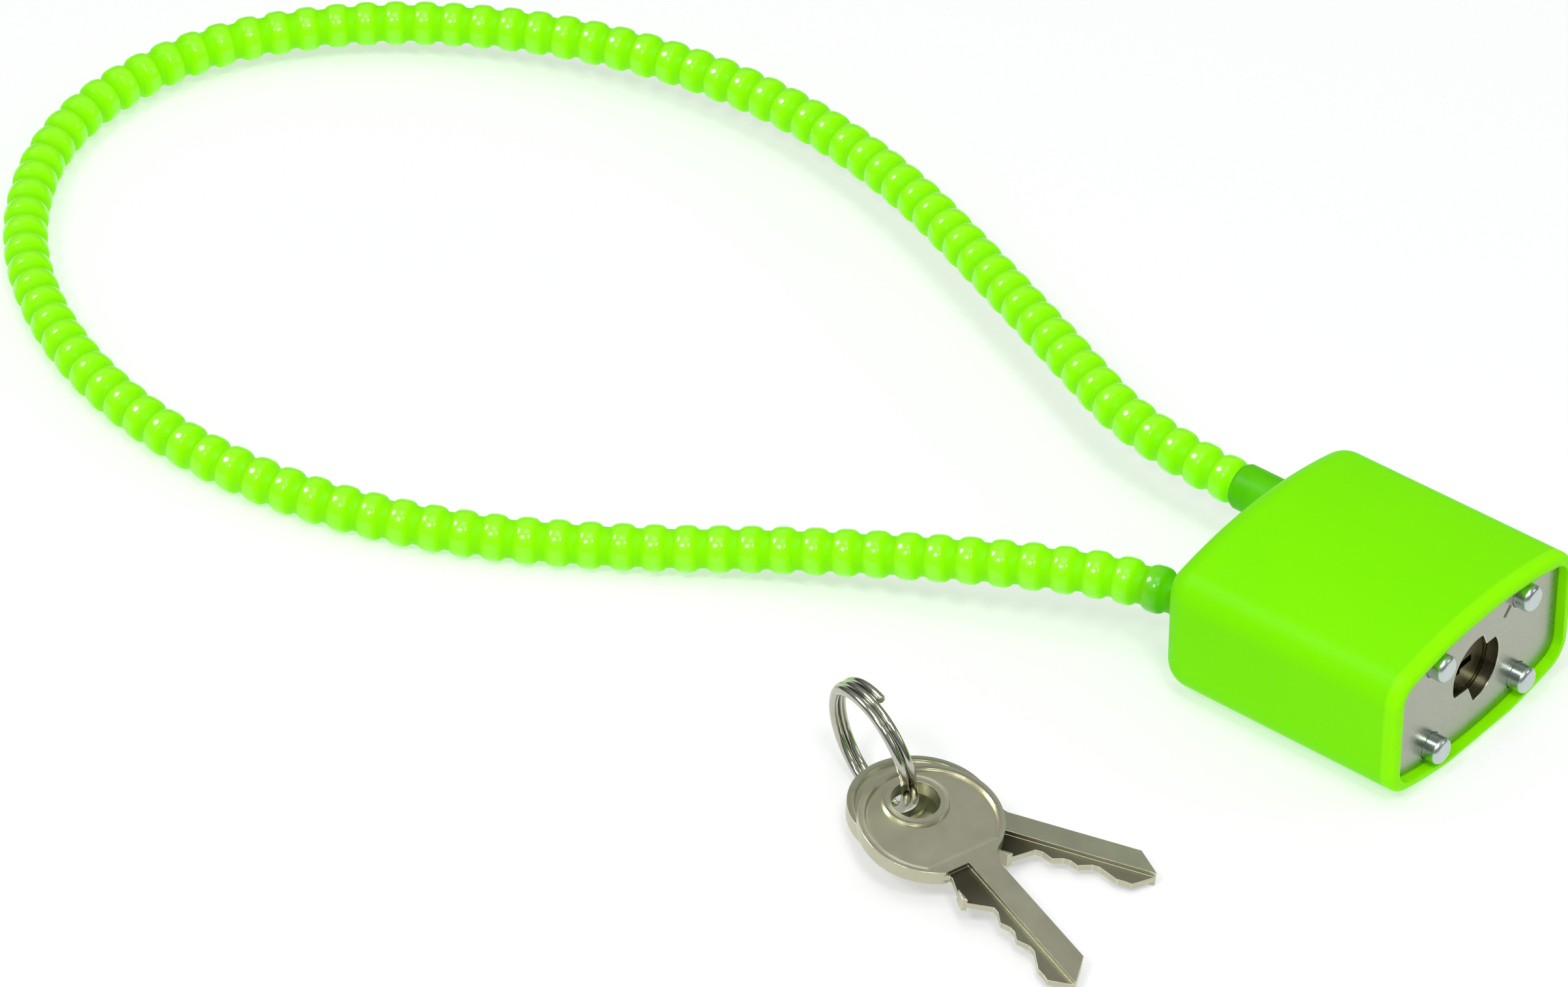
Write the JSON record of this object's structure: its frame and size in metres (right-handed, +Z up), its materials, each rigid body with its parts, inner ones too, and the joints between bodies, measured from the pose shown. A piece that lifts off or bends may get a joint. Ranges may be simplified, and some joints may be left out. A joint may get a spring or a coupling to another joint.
{
  "type": "cable lock",
  "caption": "Small cable lock: rounded plastic jacket over a riveted laminated core, ribbed sleeve cable loop, and two keys on a split ring.",
  "frame": {"origin": "centre of the lock body's underside: z = 0 is the surface the lock lies on, x = 0 the middle of its width and y = 0 half its length", "axes": "+Y out of the body where the cable leaves, -Y out of the keyhole, +X towards the removable toe, +Z up"},
  "size_m": [0.1132, 0.2219, 0.0209],
  "materials": {
    "jacket_green": "satin neon lime plastic",
    "sleeve_green": "semi-gloss lime green sleeve",
    "collar_green": "satin darker green",
    "plate_steel": "polished and lightly scratched",
    "core_steel": "plain rolled steel",
    "zinc_rivet": "satin zinc plate",
    "brass": "dull turned brass",
    "hard_steel": "ground",
    "spring_steel": "drawn wire",
    "rope_steel": "galvanised",
    "nickel": "satin nickel plate",
    "ring_nickel": "bright nickel plate"
  },
  "bodies": {
    "lock": {"jacket": "jacket_green", "end_plate": "plate_steel", "lamination_01": "core_steel", "lamination_02": "core_steel", "lamination_03": "core_steel", "lamination_04": "core_steel", "lamination_05": "core_steel", "lamination_06": "core_steel", "lamination_07": "core_steel", "lamination_08": "core_steel", "lamination_09": "core_steel", "lamination_10": "core_steel", "rivet_1": "zinc_rivet", "rivet_2": "zinc_rivet", "rivet_3": "zinc_rivet", "rivet_4": "zinc_rivet", "cylinder_housing": "brass", "chamber_cover": "brass", "heel_ferrule": "hard_steel", "dog_spring": "spring_steel", "pin_spring_1": "spring_steel", "pin_spring_2": "spring_steel", "pin_spring_3": "spring_steel", "pin_spring_4": "spring_steel", "ribbed_sleeve": "sleeve_green", "wire_rope": "rope_steel"},
    "plug": {"plug": "brass", "cam_disc": "hard_steel"},
    "dog": {"locking_dog": "hard_steel"},
    "toe": {"toe_stud": "hard_steel", "toe_collar": "collar_green"},
    "key_set": {"split_ring": "ring_nickel"},
    "key_1": {"key_1": "nickel"},
    "key_2": {"key_2": "nickel"},
    "key_pin_1": {"key_pin_1": "brass"},
    "driver_pin_1": {"driver_pin_1": "brass"},
    "key_pin_2": {"key_pin_2": "brass"},
    "driver_pin_2": {"driver_pin_2": "brass"},
    "key_pin_3": {"key_pin_3": "brass"},
    "driver_pin_3": {"driver_pin_3": "brass"},
    "key_pin_4": {"key_pin_4": "brass"},
    "driver_pin_4": {"driver_pin_4": "brass"}
  },
  "joints": [
    {"name": "plug_turn", "type": "hinge", "parent": "lock", "child": "plug", "pos_m": [0, 0, 0.0103], "axis": [0, 1, 0], "range_deg": [0, 90]},
    {"name": "dog_slide", "type": "slide", "parent": "lock", "child": "dog", "axis": [1, 0, 0], "range_m": [0, 0.00156], "deforming": ["dog_spring"]},
    {"name": "toe_pull", "type": "slide", "parent": "lock", "child": "toe", "axis": [0, 1, 0], "range_m": [0, 0.018], "deforming": ["ribbed_sleeve", "wire_rope"]},
    {"name": "key_set_lift", "type": "slide", "parent": "lock", "child": "key_set", "axis": [0, 0, 1], "range_m": [0, 0.06]},
    {"name": "key_pin_1_slide", "type": "slide", "parent": "plug", "child": "key_pin_1", "axis": [-1, 0, 0], "range_m": [0, 0.001]},
    {"name": "driver_pin_1_slide", "type": "slide", "parent": "lock", "child": "driver_pin_1", "axis": [1, 0, 0], "range_m": [0, 0.0013], "deforming": ["pin_spring_1"]},
    {"name": "key_pin_2_slide", "type": "slide", "parent": "plug", "child": "key_pin_2", "axis": [-1, 0, 0], "range_m": [0, 0.0011]},
    {"name": "driver_pin_2_slide", "type": "slide", "parent": "lock", "child": "driver_pin_2", "axis": [1, 0, 0], "range_m": [0, 0.0013], "deforming": ["pin_spring_2"]},
    {"name": "key_pin_3_slide", "type": "slide", "parent": "plug", "child": "key_pin_3", "axis": [-1, 0, 0], "range_m": [0, 0.0008]},
    {"name": "driver_pin_3_slide", "type": "slide", "parent": "lock", "child": "driver_pin_3", "axis": [1, 0, 0], "range_m": [0, 0.0013], "deforming": ["pin_spring_3"]},
    {"name": "key_pin_4_slide", "type": "slide", "parent": "plug", "child": "key_pin_4", "axis": [-1, 0, 0], "range_m": [0, 0.002]},
    {"name": "driver_pin_4_slide", "type": "slide", "parent": "lock", "child": "driver_pin_4", "axis": [1, 0, 0], "range_m": [0, 0.0013], "deforming": ["pin_spring_4"]},
    {"name": "key_1_swing", "type": "hinge", "parent": "key_set", "child": "key_1", "pos_m": [-0.0587, 0.02237, 0.0061], "axis": [-0.0419, -0.1489, 0.988], "range_deg": [-45, 0]},
    {"name": "key_2_swing", "type": "hinge", "parent": "key_set", "child": "key_2", "pos_m": [-0.05769, 0.02643, 0.00365], "axis": [0.0282, -0.0751, 0.9968], "range_deg": [0, 45]}
  ],
  "couplings": [
    {"joint": "dog_slide", "follows": "plug_turn", "m_per_rad": 0.00099035}
  ]
}
